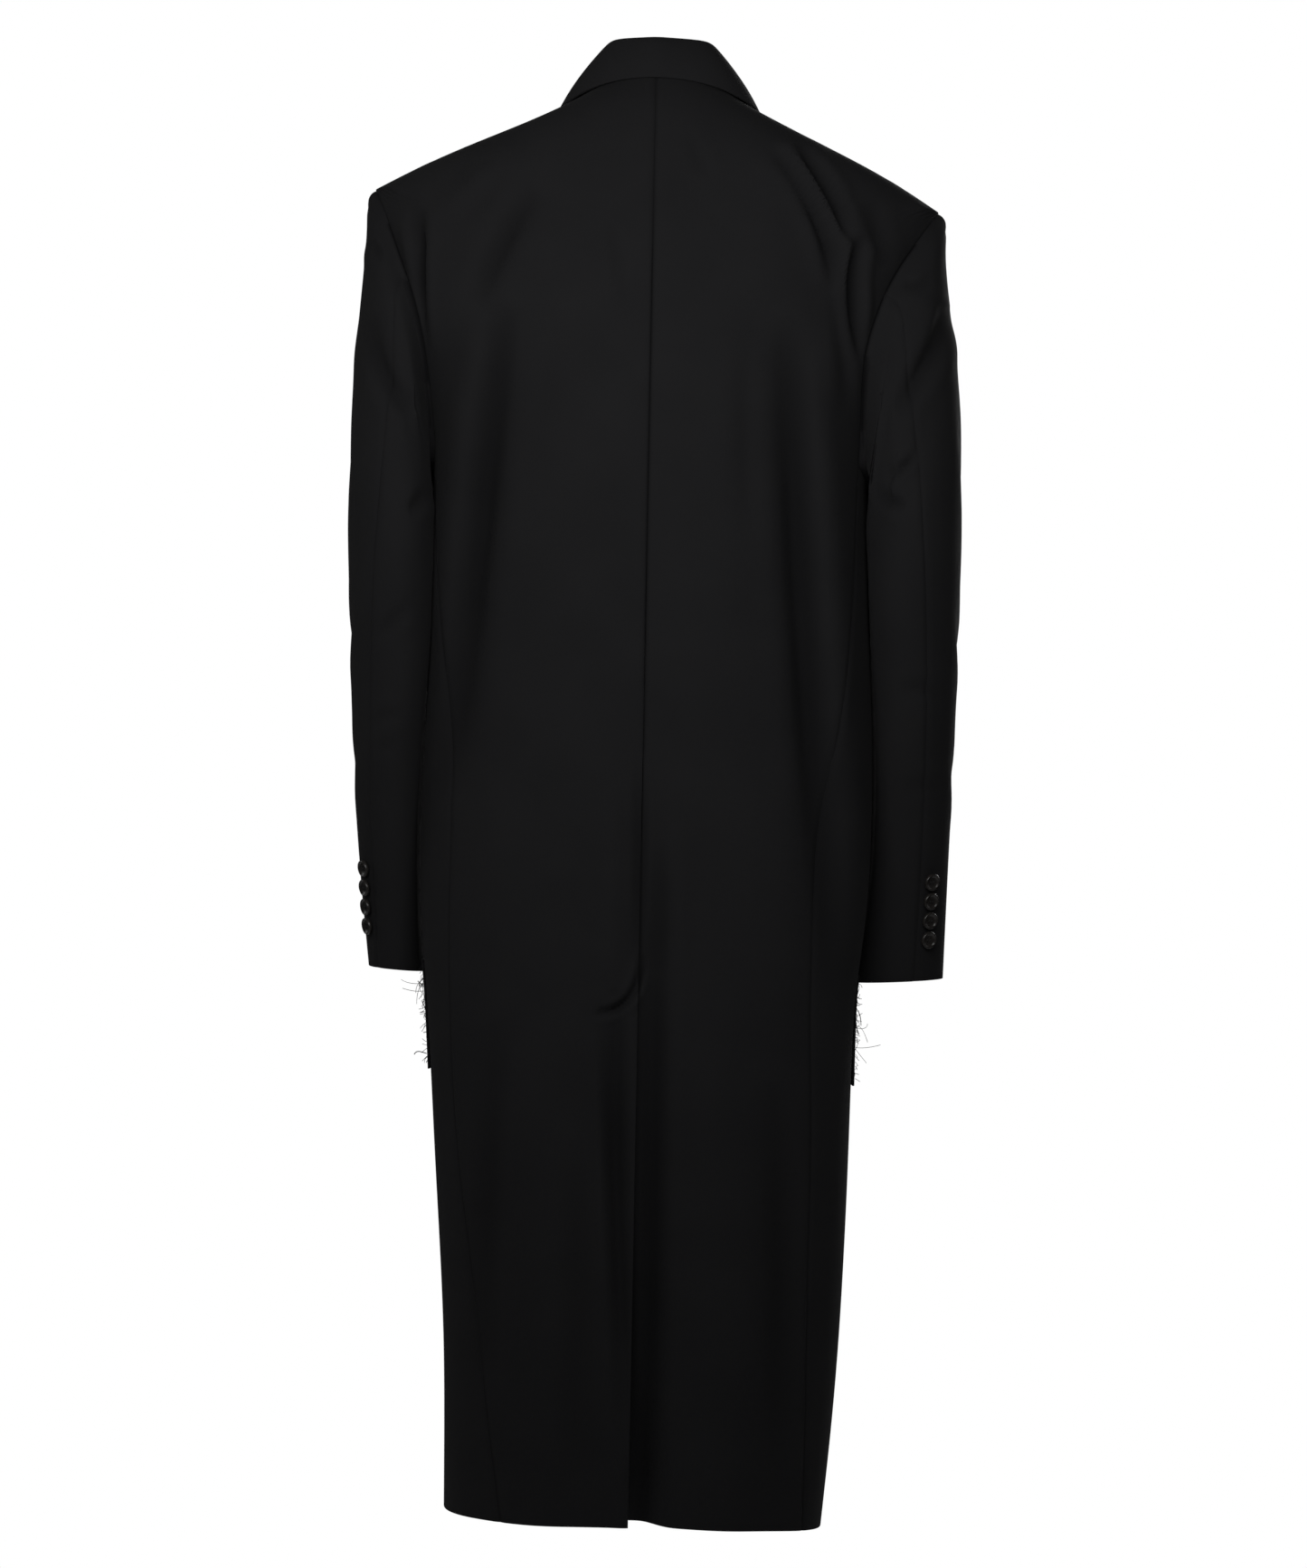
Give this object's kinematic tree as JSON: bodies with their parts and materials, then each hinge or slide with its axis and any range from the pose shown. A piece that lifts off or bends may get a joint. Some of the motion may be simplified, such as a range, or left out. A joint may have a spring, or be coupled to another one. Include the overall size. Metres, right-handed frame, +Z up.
{
  "type": "long tailored coat",
  "caption": "Hollow worn coat with a turned collar, notched lapels, padded shoulders, two-piece sleeves with buttoned cuffs and an overlapped vent at the centre back.",
  "frame": {"origin": "midway between the neck ends of the two shoulder seams, at their height, where the wearer's shoulders hold the coat", "axes": "+Z up along the centre back seam, +Y out of the back, +X to the wearer's left"},
  "size_m": [0.544, 0.2628, 1.3025],
  "materials": {
    "wool_cloth": "matte black wool twill with a faint soft sheen",
    "button": "black imitation horn, turned, softly polished"
  },
  "bodies": {
    "root": {"back_left": "wool_cloth", "side_left": "wool_cloth", "front_left": "wool_cloth", "lapel_left": "wool_cloth", "sleeve_top_left": "wool_cloth", "sleeve_under_left": "wool_cloth", "pocket_flap_left": "wool_cloth", "fray_left": "wool_cloth", "cuff_button_left_1": "button", "cuff_button_left_2": "button", "cuff_button_left_3": "button", "cuff_button_left_4": "button", "back_right": "wool_cloth", "side_right": "wool_cloth", "front_right": "wool_cloth", "lapel_right": "wool_cloth", "sleeve_top_right": "wool_cloth", "sleeve_under_right": "wool_cloth", "pocket_flap_right": "wool_cloth", "fray_right": "wool_cloth", "cuff_button_right_1": "button", "cuff_button_right_2": "button", "cuff_button_right_3": "button", "cuff_button_right_4": "button", "collar": "wool_cloth", "front_button_1": "button", "front_button_2": "button", "front_button_3": "button"}
  },
  "joints": []
}
